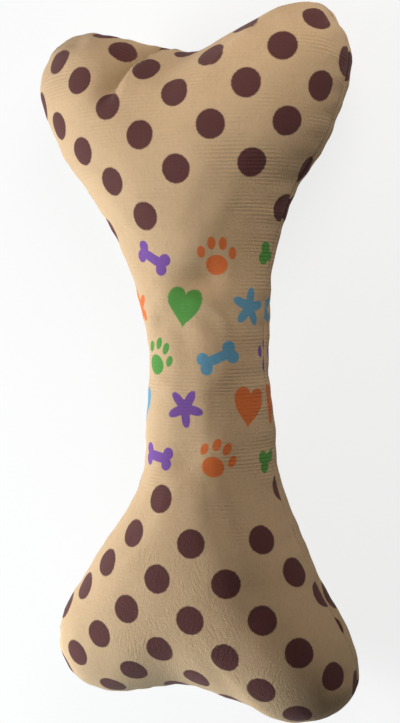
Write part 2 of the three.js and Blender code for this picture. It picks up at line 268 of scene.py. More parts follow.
# Colours of the stuffing and the thread, and the squeaker's plastics: colours, roughness, grain and the share
# of light that passes
FIBRE = [(0.70, 0.69, 0.66), (0.90, 0.89, 0.86)]
THREAD = [(0.36, 0.25, 0.15), (0.52, 0.38, 0.24)]
PLASTICS = {
    "soft_plastic": ([(0.74, 0.76, 0.72), (0.84, 0.86, 0.82)], (0.30, 0.48), 0.25, 0.15),
    "hard_plastic": ([(0.80, 0.78, 0.73), (0.88, 0.86, 0.81)], (0.22, 0.40), 0.15, 0),
    "reed_film": ([(0.62, 0.64, 0.66), (0.72, 0.74, 0.76)], (0.20, 0.38), 0.1, 0.2),
}

# Squeeze: the cloth over the squeaker goes down with the wad under it; these set each point's share, which is
# reckoned but applied to nothing here
PRESS_RADIUS = (7, 27)
PRESS_HEIGHT = (2, 10)

# Camera: turned off the vertical to the right and to the upper end, its roll, distance, aim and scale
CAMERA_RIGHT = 23.594
CAMERA_UP = 2.503
CAMERA_ROLL = 0.362
CAMERA_DISTANCE = 380
CAMERA_AIM = (1.747, 1.162)
PIXELS_PER_MM = 3.149
FRAME_HEIGHT = 723
SENSOR = 36

# Floor: dull grey to light and nearly white to the camera, which sees a share of plain white in it: near the
# toy, where its shadow lies, and far off. The distances are in metres
FLOOR_HALF = 1600
FLOOR_LEVEL = -0.2
FLOOR_DULL = [(0.62, 0.62, 0.62), (0.66, 0.66, 0.66)]
FLOOR_PALE = [(0.9, 0.9, 0.9), (0.95, 0.95, 0.95)]
FLOOR_GLOW = (0.8, 1.0)
FLOOR_FADE = (0.3, 0.9)

# Lamps, in metres and watts: a wide one far to the left, and a small one near each end
LIGHTS = {
    "key": {
        "place": (-0.8, -0.185, 0.385), "aim": (0, 0, 0.02),
        "size": 0.45, "watts": 9.45, "tint": (1, 1, 1),
    },
    "upper": {
        "place": (0.11, 0.19, 0.19), "aim": (0.02, 0.08, 0.03),
        "size": 0.14, "watts": 0.34, "tint": (1, 0.97, 0.9),
    },
    "lower": {
        "place": (-0.3, -0.25, 0.15), "aim": (-0.02, -0.08, 0.03),
        "size": 0.2, "watts": 0.66, "tint": (0.66, 0.92, 1),
    },
}
WORLD_STRENGTH = 0.02


def smooth(value, low, high):
    t = np.clip((np.asarray(value, float) - low) / (high - low), 0, 1)
    return t * t * (3 - 2 * t)


def unit(vectors):
    length = np.linalg.norm(vectors, axis=-1, keepdims=True)
    return vectors / np.maximum(length, 1e-9)


# Outline and spine

def lobe_points(lobe):
    x, y, radius, facing = lobe
    turns = np.radians(facing + np.array([-LOBE_HALF_ARC, 0, LOBE_HALF_ARC]))
    return [(x + radius * math.cos(t), y + radius * math.sin(t)) for t in turns]


def closed_spline(points, steps):
    """Centripetal spline through a closed row of points."""
    p1 = np.array(points, float)
    p0, p2, p3 = np.roll(p1, 1, 0), np.roll(p1, -1, 0), np.roll(p1, -2, 0)
    gap = [np.sqrt(np.linalg.norm(b - a, axis=1))[:, None] for a, b in ((p0, p1), (p1, p2), (p2, p3))]
    leave = (p1 - p0) / gap[0] - (p2 - p0) / (gap[0] + gap[1]) + (p2 - p1) / gap[1]
    arrive = (p2 - p1) / gap[1] - (p3 - p1) / (gap[1] + gap[2]) + (p3 - p2) / gap[2]
    leave, arrive = leave * gap[1], arrive * gap[1]
    rows = []
    for k in range(steps):
        t = k / steps
        square = -3 * p1 + 3 * p2 - 2 * leave - arrive
        cube = 2 * p1 - 2 * p2 + leave + arrive
        rows.append(p1 + leave * t + square * t * t + cube * t ** 3)
    return np.stack(rows, 1).reshape(-1, 2)


def outline(steps):
    right = [(r, y) for y, _, r in STATIONS]
    left = [(l, y) for y, l, _ in STATIONS][::-1]
    upper = lobe_points(UPPER_LOBES[0]) + [UPPER_NOTCH] + lobe_points(UPPER_LOBES[1])
    lower = lobe_points(LOWER_LOBES[0]) + [LOWER_NOTCH] + lobe_points(LOWER_LOBES[1])
    edge = closed_spline(right + upper + left + lower, steps)
    return edge - (edge.min(0) + edge.max(0)) / 2


def pushed(edge):
    for place, push, reach in EDGE_PUSHES:
        distance = np.linalg.norm(edge - place, axis=1, keepdims=True)
        edge = edge + np.exp(-((distance / reach) ** 2)) * push
    return edge


class Plan:
    """The outline, the spine between its two sides, and each edge point's place on the spine."""

    def __init__(self, steps):
        sewn = outline(steps)
        self.edge = pushed(sewn)
        self.count = len(self.edge)
        self.side = (len(STATIONS) - 1) * steps
        left_end = self.count // 2 + self.side
        index = np.arange(self.count)
        place = np.where(index <= self.side, index, np.clip(left_end - index, 0, self.side))
        self.place = np.where(index > left_end, 0, place)
        k = np.arange(self.side + 1)
        self.spine = (sewn[k] + sewn[left_end - k]) / 2
        self.squeaker = self.spine[WAIST_STATION * steps]
        along = np.abs(self.spine[:, 1] - self.squeaker[1])
        end = np.where(k > WAIST_STATION * steps, along[-1], along[0])
        t = np.clip((along - GRIP_HALF_LENGTH) / (end - GRIP_HALF_LENGTH), 0, 1)
        self.rise = SHAFT_RISE + (END_RISE - SHAFT_RISE) * t * t * (3 - 2 * t)


def half_form(plan, rings):
    """Rings of points from the spine out to the rim, with their height over the rim."""
    angle = np.linspace(0, np.pi / 2, rings + 1)[:, None]
    reach = (np.sin(angle) ** FULLNESS)[:, :, None]
    middle = plan.spine[plan.place]
    flat = middle + (plan.edge - middle) * reach
    height = plan.rise[plan.place] * np.cos(angle)
    return np.concatenate([flat, height[:, :, None]], 2)


def cloth_places(plan, form):
    """Where each point lies on the cloth when it is laid flat, measured out from the spine."""
    step = np.linalg.norm(np.diff(form, axis=0), axis=2)
    run = np.vstack([np.zeros((1, plan.count)), np.cumsum(step, 0)])
    middle = plan.spine[plan.place]
    return middle + unit(plan.edge - middle) * run[:, :, None]


def ring_normals(form):
    across = np.gradient(form, axis=0)
    round_edge = np.roll(form, -1, 1) - np.roll(form, 1, 1)
    normal = unit(np.cross(across, round_edge))
    normal[0] = (0, 0, 1)
    return normal


# Soft shapes

def lumps(points, seed):
    places = points.reshape(-1, 3) / LUMP_SIZE
    values = [noise.noise(Vector((x + seed, y, z))) for x, y, z in places]
    return np.array(values).reshape(points.shape[:-1]) * LUMP_HEIGHT


def puckers(plan, form):
    """Small gathers that the seam draws in the cloth beside it."""
    step = np.linalg.norm(np.roll(plan.edge, -1, 0) - plan.edge, axis=1)
    run = np.concatenate([[0], np.cumsum(step)[:-1]])
    waves = round(step.sum() / PUCKER_PITCH)
    phase = 2 * np.pi * waves * run / step.sum()
    size, seed = PUCKER_UNEVEN["size"], PUCKER_UNEVEN["seed"]
    uneven = np.array([noise.noise(Vector((r / size, seed, 0))) for r in run])
    wave = np.sin(phase + PUCKER_UNEVEN["shift"] * uneven) * (PUCKER_UNEVEN["least"] + uneven)
    distance = np.linalg.norm(form - form[-1], axis=2)
    reach = np.exp(-((distance / PUCKER_REACH) ** 2)) * smooth(distance, 0, PUCKER_START)
    return PUCKER_HEIGHT * wave * reach


def fold(xy, shape):
    """Depth of a fold along its line, with a bank of its own on each side, faded past its ends."""
    best = np.full(xy.shape[:-1], 1e9)
    off, past = np.zeros_like(best), np.zeros_like(best)
    line = np.array(shape["line"], float)
    for a, b in zip(line[:-1], line[1:]):
        ahead = (b - a) / np.linalg.norm(b - a)
        along = (xy - a) @ ahead
        beyond = along - np.clip(along, 0, np.linalg.norm(b - a))
        aside = (xy - a) @ np.array([-ahead[1], ahead[0]])
        distance = np.hypot(aside, beyond)
        nearer = distance < best
        best = np.where(nearer, distance, best)
        off, past = np.where(nearer, aside, off), np.where(nearer, np.abs(beyond), past)
    bank = np.where(off > 0, off / shape["middle_side"], off / shape["lobe_side"])
    return shape["depth"] * np.exp(-bank ** 2 - (past / shape["fade"]) ** 2)


def front_marks(plan, form):
    """The squeaker's rim under the cloth, the dent above it and the crease in the upper left lobe."""
    xy = form[..., :2]
    from_squeaker = xy - plan.squeaker
    radius = np.linalg.norm(from_squeaker, axis=-1)
    least = SQUEAKER_RIM["lower_share"]
    shown = least + (1 - least) * smooth(from_squeaker[..., 1], *SQUEAKER_RIM["turn"])
    rim = np.exp(-(((radius - SQUEAKER_RIM["radius"]) / SQUEAKER_RIM["spread"]) ** 2))
    aside = (xy - DENT["place"]) / (DENT["across"], 1)
    aside[..., 1] /= np.where(aside[..., 1] > 0, DENT["above"], DENT["below"])
    dent = DENT["depth"] * np.exp(-(aside ** 2).sum(-1))
    raised = SQUEAKER_RIM["height"] * rim * shown - dent
    height = form[..., 2]
    return smooth(height, *MARK_FADE) * raised - smooth(height, *CREASE_FADE) * fold(xy, CREASE)


# Mesh helpers

def mesh_object(name, points, faces):
    mesh = bpy.data.meshes.new(name)
    mesh.from_pydata([tuple(p) for p in np.asarray(points) * MM], [], faces)
    mesh.update()
    mesh.polygons.foreach_set("use_smooth", [True] * len(mesh.polygons))
    piece = bpy.data.objects.new(name, mesh)
    bpy.context.scene.collection.objects.link(piece)
    return piece


def vertex_places(mesh):
    places = np.zeros(len(mesh.vertices) * 3)
    mesh.vertices.foreach_get("co", places)
    return places.reshape(-1, 3) / MM


def add_uv(mesh, name, values):
    corner = np.zeros(len(mesh.loops), int)
    mesh.loops.foreach_get("vertex_index", corner)
    mesh.uv_layers.new(name=name).data.foreach_set("uv", np.asarray(values)[corner].ravel())


def ring_faces(plan, rows, flip):
    """Faces between rows of points. The first row is the spine, which both sides share."""
    place = plan.place.tolist()
    count = plan.count
    faces = []
    for row in range(rows - 1):
        base = len(plan.spine) + (row - 1) * count
        for i in range(count):
            n = (i + 1) % count
            outer = (base + count + i, base + count + n)
            inner = (place[i], place[n]) if row == 0 else (base + i, base + n)
            corners = [inner[0], outer[0], outer[1], inner[1]]
            if inner[0] == inner[1]:
                corners.pop()
            faces.append(corners[::-1] if flip else corners)
    return faces


def stack_rows(plan, rows):
    """One list of points: the spine, then every ring after it, and the spine again where that is last."""
    first = np.zeros((len(plan.spine), rows[0].shape[-1]))
    last = np.zeros_like(first)
    first[plan.place], last[plan.place] = rows[0], rows[-1]
    return np.vstack([first] + [np.asarray(r) for r in rows[1:-1]] + [last])


def closed_skin(plan, rows, flip):
    """Points and faces of a skin whose first and last rows lie on the spine."""
    points = stack_rows(plan, rows)
    faces = ring_faces(plan, len(rows) - 1, flip)
    last_spine = len(points) - len(plan.spine)
    last_ring = last_spine - plan.count
    for i in range(plan.count):
        n = (i + 1) % plan.count
        corners = [last_ring + i, last_spine + plan.place[i], last_spine + plan.place[n], last_ring + n]
        if plan.place[i] == plan.place[n]:
            corners.pop(2)
        faces.append([int(c) for c in (corners if flip else corners[::-1])])
    return points, faces


# Stuffing pressure

def even_mesh(piece, voxel):
    remesh = piece.modifiers.new("even", "REMESH")
    remesh.mode = "VOXEL"
    remesh.voxel_size = voxel * MM
    evaluated = piece.evaluated_get(bpy.context.evaluated_depsgraph_get())
    mesh = bpy.data.meshes.new_from_object(evaluated)
    piece.modifiers.clear()
    piece.data = mesh
    return mesh


def stuffed_swell(plan):
    """Blows up the slack cover as cloth. Gives a tree of its points, and how far each one moved."""
    form = half_form(plan, SKIN_RINGS) * (1, 1, SLACK)
    points, faces = closed_skin(plan, list(form) + list(form[-2::-1] * (1, 1, -1)), False)
    skin = mesh_object("cover_skin", points, faces)
    start = vertex_places(even_mesh(skin, SKIN_VOXEL))
    held = skin.vertex_groups.new(name="held")
    held.add(np.flatnonzero(np.abs(start[:, 2]) < HELD_HEIGHT).tolist(), 1.0, "REPLACE")
    cloth = skin.modifiers.new("cloth", "CLOTH")
    cloth.settings.use_pressure = True
    cloth.settings.uniform_pressure_force = SKIN_PRESSURE
    cloth.settings.mass = SKIN_MASS
    cloth.settings.bending_stiffness = SKIN_BENDING
    cloth.settings.shrink_min = -SKIN_SPARE
    cloth.settings.effector_weights.gravity = 0
    cloth.settings.vertex_group_mass = "held"
    scene = bpy.context.scene
    for number in range(1, SKIN_FRAMES + 1):
        scene.frame_set(number)
    moved = vertex_places(skin.evaluated_get(bpy.context.evaluated_depsgraph_get()).data) - start
    bpy.data.objects.remove(skin)
    scene.frame_set(1)
    tree = kdtree.KDTree(len(start))
    for number, point in enumerate(start):
        tree.insert(point, number)
    tree.balance()
    return tree, moved


def stuffed_waves(form, side, swell):
    """How far the stuffing pushes each point of the half form out, or leaves it back."""
    tree, moved = swell
    slack = form * (1, 1, SLACK)
    carried = np.zeros_like(slack).reshape(-1, 3)
    for number, point in enumerate(slack.reshape(-1, 3) * (1, 1, side)):
        near = tree.find_n(point, NEAR_POINTS)
        weight = np.array([math.exp(-((distance / SKIN_VOXEL) ** 2)) for _, _, distance in near])
        carried[number] = weight @ moved[[k for _, k, _ in near]] / weight.sum()
    carried = carried.reshape(slack.shape) * (1, 1, side)
    out = ((slack + carried - form) * ring_normals(form)).sum(-1)
    return np.clip(out - out.mean(1, keepdims=True), -SWELL_CAP, SWELL_CAP)


# Panels

def lattice_numbers(cloth, side):
    """Numbers that are whole in the middle of each dot. The front has one lattice at each end."""
    if side < 0:
        return print_numbers(cloth, BACK_PRINT)
    upper, lower = [print_numbers(cloth, end) for end in (UPPER_PRINT, LOWER_PRINT)]
    return np.where(cloth[..., 1:] > 0, upper, lower)


def print_numbers(cloth, lattice):
    away = cloth - lattice["dot"]
    u, v = np.moveaxis(away / BEND_UNIT, -1, 0)
    squares = np.stack([u * u, u * v, v * v], -1)
    return away @ np.linalg.inv(lattice["steps"]) + squares @ np.transpose(lattice["bend"])


def lattice_measure(plan, form, numbers):
    """Squares and cross term that turn a step in lattice numbers into its squared length on the cloth."""
    def steps(grid):
        return np.stack([np.gradient(grid, axis=0), np.roll(grid, -1, 1) - np.roll(grid, 1, 1)], -1)
    lattice, surface = steps(numbers)[1:], steps(form)[1:]
    lattice = np.where(np.abs(np.linalg.det(lattice))[..., None, None] > 1e-9, lattice, np.eye(2))
    slope = surface @ np.linalg.inv(lattice)
    measure = np.einsum("...ki,...kj->...ij", slope, slope)
    measure = np.stack([measure[..., 0, 0], measure[..., 1, 1], measure[..., 0, 1]], -1)
    share = np.bincount(plan.place)[:, None]
    spine = np.stack([np.bincount(plan.place, measure[0, :, k]) for k in range(3)], -1) / share
    return np.concatenate([spine[plan.place][None], measure])


def shell_rows(outer, rolls, inner):
    """Rows of a closed panel: over its outer face, round the rolled rim and back under its inner face."""
    return list(outer) + list(rolls) + list(inner[::-1])


def soft_swell(plan, form, side, stuffing):
    """How far each point of the half form moves out. The rim stays, and the spine has one value a point."""
    swell = lumps(form, LUMP_SEEDS[side]) + puckers(plan, form)
    if stuffing:
        swell = swell + stuffed_waves(form, side, stuffing)
    if side > 0:
        swell = swell + front_marks(plan, form)
    swell[-1] = 0
    order = np.argsort(plan.place, kind="stable")
    first_there = order[np.searchsorted(plan.place[order], plan.place)]
    swell[0] = swell[0][first_there]
    return swell


def panel(name, plan, side, stuffing):
    """One side of the cover, with its cloth and print places and its share of painted crease shade as UV
    layers.
    """
    form = half_form(plan, RINGS)
    cloth = cloth_places(plan, form)
    numbers = lattice_numbers(cloth, side)
    measure = lattice_measure(plan, form, numbers)
    swell = soft_swell(plan, form, side, stuffing)
    form = form + ring_normals(form) * swell[:, :, None]
    outside = form + (0, 0, RIM_HALF_GAP)
    inward = unit(plan.spine[plan.place] - plan.edge)
    rolls = []
    for inset, up in RIM_ROLL:
        rolls.append(np.column_stack([plan.edge + inward * inset, np.full(plan.count, up)]))
    inside = (outside - ring_normals(form) * FABRIC)[:-2]
    points, faces = closed_skin(plan, shell_rows(outside, rolls, inside), side < 0)
    points[:, 2] = np.maximum(SEAM_HEIGHT + side * points[:, 2], 0)
    piece = mesh_object(name, points, faces)
    # Share of painted shade on the front: the crease's depth over its full depth
    painted_crease_share = fold(form[..., :2], CREASE)[..., None] / CREASE["depth"] * (side > 0)
    places, lattice, sizes, folds = [
        stack_rows(plan, shell_rows(grid, [grid[-1]] * len(rolls), grid[:-2]))
        for grid in (cloth, numbers, measure, painted_crease_share)
    ]
    add_uv(piece.data, "cloth", places)
    add_uv(piece.data, "print", lattice)
    add_uv(piece.data, "dot_squares", sizes[:, :2])
    add_uv(piece.data, "dot_cross", sizes[:, 2:].repeat(2, 1))
    # The fold layer holds that share of painted crease shade
    add_uv(piece.data, "fold", folds.repeat(2, 1))
    return piece


# Wads, threads and the squeaker

def wad(node, plan, seed):
    """Lumpy wad of fibre a little inside its solid, and under the cloth's crease and dent."""
    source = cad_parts[node]
    piece = bpy.data.objects.new("wad_" + node, source.data.copy())
    bpy.context.scene.collection.objects.link(piece)
    mesh = even_mesh(piece, WAD_VOXEL)
    places = vertex_places(mesh)
    normals = np.zeros(len(mesh.vertices) * 3)
    mesh.vertices.foreach_get("normal", normals)
    (tuft_size, tuft_depth), (curl_size, curl_depth) = WAD_TUFT, WAD_CURL
    tuft = [noise.noise(Vector(p / tuft_size) + Vector((seed, 0, 0))) for p in places]
    curl = [noise.noise(Vector(p / curl_size) + Vector((0, seed, 0))) for p in places]
    depth = WAD_INSET - tuft_depth * np.array(tuft) - curl_depth * np.array(curl)
    places = places - normals.reshape(-1, 3) * np.clip(depth, *WAD_INSET_RANGE)[:, None]
    places[:, 2] += np.minimum(front_marks(plan, places - (0, 0, SEAM_HEIGHT)), 0)
    mesh.vertices.foreach_set("co", (places * MM).ravel())
    mesh.polygons.foreach_set("use_smooth", [True] * len(mesh.polygons))
    mesh.update()
    return piece


def tube_along(name, path, radius):
    """Thread of round section along an open row of points."""
    path = np.asarray(path, float)
    sides = THREAD_SIDES
    ahead = np.roll(path, -1, 0) - np.roll(path, 1, 0)
    ahead[0], ahead[-1] = path[1] - path[0], path[-1] - path[-2]
    ahead = unit(ahead)
    across = unit(np.cross(ahead, (0, 0, 1)) + 1e-6)
    up = np.cross(across, ahead)
    turn = np.linspace(0, 2 * np.pi, sides, endpoint=False)
    circle = np.cos(turn)[None, :, None] * across[:, None] + np.sin(turn)[None, :, None] * up[:, None]
    points = (path[:, None] + radius * circle).reshape(-1, 3)
    faces = []
    for row in range(len(path) - 1):
        after = row + 1
        for s in range(sides):
            n = (s + 1) % sides
            faces.append([row * sides + s, row * sides + n, after * sides + n, after * sides + s])
    faces.append(list(range(sides))[::-1])
    faces.append([(len(path) - 1) * sides + s for s in range(sides)])
    return mesh_object(name, points, faces)


def seam_line(plan, inset, spacing):
    inward = unit(plan.spine[plan.place] - plan.edge)
    line = plan.edge + inward * inset
    step = np.linalg.norm(np.roll(line, -1, 0) - line, axis=1)
    run = np.concatenate([[0], np.cumsum(step)])
    count = int(run[-1] / spacing)
    wanted = np.linspace(0, run[-1], count, endpoint=False)
    closed = np.vstack([line, line[:1]])
    return np.column_stack([np.interp(wanted, run, closed[:, k]) for k in (0, 1)]), wanted


def is_closing(plan, xy):
    beside = np.abs(xy[:, 1] - plan.squeaker[1]) < CLOSING_LENGTH / 2
    return beside & (xy[:, 0] > plan.squeaker[0])


def machine_seam(plan):
    """Wavy thread all round the seam, but for the part closed by hand."""
    xy, run = seam_line(plan, SEAM_INSET, STITCH_LENGTH / STITCH_POINTS)
    up = SEAM_HEIGHT + STITCH_RISE * np.sin(2 * np.pi * run / STITCH_LENGTH)
    open_part = np.flatnonzero(is_closing(plan, xy))
    start = open_part[-1] + 1 if open_part[0] > 0 else 0
    order = [(start + k) % len(xy) for k in range(len(xy) - len(open_part))]
    return tube_along("seam_stitches", np.column_stack([xy, up])[order], THREAD_RADIUS)


def closing_stitch(plan):
    """Ladder stitch: rungs across the seam, joined along the folds of the two rims."""
    xy, run = seam_line(plan, SEAM_INSET, LADDER_PITCH / LADDER_POINTS)
    chosen = np.flatnonzero(is_closing(plan, xy))
    xy, run = xy[chosen], run[chosen]
    phase = (run - run[0]) / LADDER_PITCH * np.pi
    up = SEAM_HEIGHT + LADDER_RISE * np.tanh(LADDER_SQUARENESS * np.sin(phase))
    return tube_along("closing_stitches", np.column_stack([xy, up]), CLOSING_RADIUS)


def capsule(radius, half_height, last_radius):
    """Half section of a capsule from its top down to a hole of the last radius below."""
    angle = np.linspace(np.pi / 2, -np.pi / 2, PROFILE_POINTS)
    across = radius * np.abs(np.cos(angle)) ** (2 / BLADDER_ROUNDNESS)
    up = half_height * np.sign(np.sin(angle)) * np.abs(np.sin(angle)) ** (2 / BLADDER_ROUNDNESS)
    kept = (up > 0) | (across > last_radius)
    return np.column_stack([across, up])[kept]


def bladder_profile():
    """Radius and height along the wall: outside from the top down, round the spout's end, and up inside."""
    wall = BLADDER_WALL
    outside = capsule(BLADDER_RADIUS, BLADDER_HALF_HEIGHT, SPOUT_BORE + wall)
    across, up = outside.T
    parting = np.exp(-((up / PARTING_LINE["width"]) ** 2)) * (across > PARTING_LINE["from"])
    across += PARTING_LINE["height"] * parting
    ringed = (across > TOP_RINGS["from"]) * (across < TOP_RINGS["to"]) * (up > 0)
    up -= TOP_RINGS["depth"] * np.sin(across * TOP_RINGS["turn"]) ** 4 * ringed
    inside = capsule(BLADDER_RADIUS - wall, BLADDER_HALF_HEIGHT - wall, SPOUT_BORE)[::-1]
    bottom, bevel = -BLADDER_HALF_HEIGHT - SPOUT_LENGTH, SPOUT_BEVEL
    spout = [(SPOUT_BORE + wall, bottom + bevel), (SPOUT_BORE + wall - bevel, bottom)]
    spout += [(SPOUT_BORE + bevel, bottom), (SPOUT_BORE, bottom + bevel)]
    profile = np.vstack([outside, spout, inside])
    profile[0, 0] = profile[-1, 0] = POLE_RADIUS
    return profile


def bladder(plan):
    """Soft blow-moulded capsule with a spout below, a thin parting line and moulded rings on top."""
    profile = bladder_profile()
    sides = BLADDER_SIDES
    turn = np.linspace(0, 2 * np.pi, sides, endpoint=False)
    ring_xy = np.stack([np.cos(turn), np.sin(turn)], 1)
    flat = profile[:, None, :1] * ring_xy[None]
    points = np.concatenate([flat, np.repeat(profile[:, None, 1:], sides, 1)], 2).reshape(-1, 3)
    points = points + (plan.squeaker[0], plan.squeaker[1], SEAM_HEIGHT)
    faces = []
    for row in range(len(profile) - 1):
        for s in range(sides):
            n = (s + 1) % sides
            faces.append([row * sides + s, (row + 1) * sides + s, (row + 1) * sides + n, row * sides + n])
    faces.append(list(range(sides)))
    faces.append([(len(profile) - 1) * sides + s for s in range(sides)][::-1])
    return mesh_object("squeaker_capsule", points, faces)


# Materials

class Shader:
    """One material and short ways to add nodes to it."""

    def __init__(self, name):
        self.material = bpy.data.materials.new(name)
        self.material.use_nodes = True
        self.tree = self.material.node_tree
        self.surface = self.tree.nodes["Principled BSDF"]

    def node(self, kind, **settings):
        made = self.tree.nodes.new("ShaderNode" + kind)
        for key, value in settings.items():
            setattr(made, key, value)
        return made

    def put(self, socket, value):
        if isinstance(value, bpy.types.NodeSocket):
            self.tree.links.new(value, socket)
        else:
            socket.default_value = value

    def math(self, operation, *values):
        made = self.node("Math", operation=operation)
        for socket, value in zip(made.inputs, values):
            self.put(socket, value)
        return made.outputs[0]

    def ramp(self, value, low, high, start=0.0, end=1.0):
        made = self.node("MapRange", interpolation_type="SMOOTHSTEP")
        keys = ("Value", "From Min", "From Max", "To Min", "To Max")
        for key, item in zip(keys, (value, low, high, start, end)):
            self.put(made.inputs[key], item)
        return made.outputs[0]

    def mix(self, share, first, second):
        made = self.node("Mix", data_type="RGBA")
        sockets = [s for s in made.inputs if s.enabled]
        for socket, value in zip(sockets, (share, first, second)):
            self.put(socket, (*value, 1) if isinstance(value, tuple) else value)
        return next(s for s in made.outputs if s.enabled)

    def length(self, x, y):
        squares = [self.math("POWER", side, 2.0) for side in (x, y)]
        return self.math("SQRT", self.math("ADD", *squares))

    def uv(self, name):
        split = self.node("SeparateXYZ")
        self.tree.links.new(self.node("UVMap", uv_map=name).outputs[0], split.inputs[0])
        return split.outputs[0], split.outputs[1]

    def combine(self, x, y, z=0.0):
        made = self.node("CombineXYZ")
        for socket, value in zip(made.inputs, (x, y, z)):
            self.put(socket, value)
        return made.outputs[0]

    def noise(self, vector, scale, detail=2.0, rough=0.5):
        made = self.node("TexNoise")
        self.put(made.inputs["Vector"], vector)
        for key, value in (("Scale", scale), ("Detail", detail), ("Roughness", rough)):
            made.inputs[key].default_value = value
        return made.outputs[0]

    def place(self):
        return self.node("TexCoord").outputs["Object"]

    def bump(self, height, strength, distance):
        made = self.node("Bump")
        made.inputs["Strength"].default_value = strength
        made.inputs["Distance"].default_value = distance
        self.put(made.inputs["Height"], height)
        self.put(self.surface.inputs["Normal"], made.outputs[0])

    def set(self, **values):
        for key, value in values.items():
            self.put(self.surface.inputs[key.replace("_", " ")], value)


def lattice_dots(shader, front):
    """Share of dot colour. The rows over the shaft are left free."""
    numbers = shader.uv("print")
    u, v = shader.uv("cloth")
    near = [shader.math("ROUND", n) for n in numbers]
    off = [shader.math("SUBTRACT", n, r) for n, r in zip(numbers, near)]
    twice_cross = shader.math("MULTIPLY", shader.uv("dot_cross")[0], 2.0)
    cross = shader.math("MULTIPLY", shader.math("MULTIPLY", *off), twice_cross)
    squares = []
    for step, square in zip(off, shader.uv("dot_squares")):
        squares.append(shader.math("MULTIPLY", shader.math("MULTIPLY", step, step), square))
    distance = shader.math("SQRT", shader.math("ADD", cross, shader.math("ADD", *squares)))
    fuzz = shader.noise(shader.combine(u, v), *CLOTH_NOISE["dot_edge"])
    edge = shader.math("MULTIPLY_ADD", fuzz, DOT_FUZZ, shader.math("SUBTRACT", distance, DOT_FUZZ / 2))
    dots = shader.ramp(edge, DOT_RADIUS + DOT_SOFTNESS, DOT_RADIUS - DOT_SOFTNESS)
    if not front:
        (_, first_up), (_, second_up) = BACK_PRINT["steps"]
        middle = shader.math("MULTIPLY_ADD", near[0], first_up, BACK_PRINT["dot"][1])
        middle = shader.math("MULTIPLY_ADD", near[1], second_up, middle)
        clear = shader.math("GREATER_THAN", shader.math("ABSOLUTE", middle), BACK_BREAK)
        return shader.math("MULTIPLY", dots, clear)
    row = shader.math("MULTIPLY", shader.math("ADD", *near), shader.math("SIGN", v))
    column = shader.math("ABSOLUTE", shader.math("SUBTRACT", *near))
    beside = shader.math("GREATER_THAN", column, SIDE_COLUMN)
    full_row = shader.math("LESS_THAN", row, LAST_FULL_ROW)
    side_row = shader.math("MULTIPLY", shader.math("LESS_THAN", row, LAST_SIDE_ROW), beside)
    off_middle = shader.math("GREATER_THAN", shader.math("ABSOLUTE", v), PRINT_BREAK)
    dots = shader.math("MULTIPLY", dots, off_middle)
    return shader.math("MULTIPLY", dots, shader.math("MAXIMUM", full_row, side_row))


def ellipse(shader, x, y, middle, radii):
    """Below 1 inside an ellipse."""
    across = shader.math("DIVIDE", shader.math("SUBTRACT", x, middle[0]), radii[0])
    up = shader.math("DIVIDE", shader.math("SUBTRACT", y, middle[1]), radii[1])
    return shader.length(across, up)


def paw(shader, x, y):
    mirrored = shader.math("ABSOLUTE", x)
    pad = ellipse(shader, x, y, (0, -0.38), (0.56, 0.46))
    inner_toe = ellipse(shader, mirrored, y, (0.27, 0.62), (0.2, 0.3))
    outer_toe = ellipse(shader, mirrored, y, (0.76, 0.2), (0.19, 0.28))
    return shader.math("MINIMUM", pad, shader.math("MINIMUM", inner_toe, outer_toe))


def star(shader, x, y):
    turn = shader.math("ARCTAN2", x, y)
    arms = shader.math("COSINE", shader.math("MULTIPLY", turn, 5.0))
    reach = shader.math("MULTIPLY_ADD", arms, 0.27, 0.68)
    return shader.math("DIVIDE", shader.length(x, y), reach)


def heart(shader, x, y):
    across = shader.math("ABSOLUTE", x)
    lift = shader.math("MULTIPLY", shader.math("SQRT", across), 0.72)
    up = shader.math("SUBTRACT", shader.math("ADD", y, 0.22), lift)
    return ellipse(shader, across, up, (0, 0), (0.86, 0.8))


def bone(shader, x, y):
    across, up = shader.math("ABSOLUTE", x), shader.math("ABSOLUTE", y)
    knob = ellipse(shader, across, up, (0.68, 0.25), (0.3, 0.3))
    bar = shader.math("MAXIMUM", shader.math("DIVIDE", across, 0.72), shader.math("DIVIDE", up, 0.24))
    return shader.math("MINIMUM", knob, bar)


def motif_cell(shader, u, v, front):
    """Row and column of each motif, and the place in it. The back is half a step off the front."""
    along = shader.math("DIVIDE", shader.math("SUBTRACT", v, MOTIF_START[1]), MOTIF_ROW)
    row = shader.math("FLOOR", along)
    shift = shader.math("FLOORED_MODULO", shader.math("MULTIPLY", row, 0.5), 1.0)
    if not front:
        shift = shader.math("SUBTRACT", 0.5, shift)
    across = shader.math("DIVIDE", shader.math("SUBTRACT", u, MOTIF_START[0]), MOTIF_COLUMN)
    across = shader.math("ADD", across, shift)
    column = shader.math("FLOOR", across)
    place = []
    for value, cell, pitch in ((across, column, MOTIF_COLUMN), (along, row, MOTIF_ROW)):
        from_middle = shader.math("SUBTRACT", shader.math("SUBTRACT", value, cell), 0.5)
        place.append(shader.math("DIVIDE", shader.math("MULTIPLY", from_middle, pitch), MOTIF_SIZE))
    return row, column, place


def tilted(shader, row, column, place):
    """The place turned by an angle of the motif's own."""
    x, y = place
    cell = shader.node("TexWhiteNoise", noise_dimensions="2D")
    shader.put(cell.inputs["Vector"], shader.combine(row, column))
    tilt = shader.math("MULTIPLY", shader.math("SUBTRACT", cell.outputs[0], 0.5), MOTIF_TILT)
    cosine, sine = shader.math("COSINE", tilt), shader.math("SINE", tilt)
    turned_x = shader.math("SUBTRACT", shader.math("MULTIPLY", x, cosine), shader.math("MULTIPLY", y, sine))
    turned_y = shader.math("ADD", shader.math("MULTIPLY", x, sine), shader.math("MULTIPLY", y, cosine))
    return turned_x, turned_y


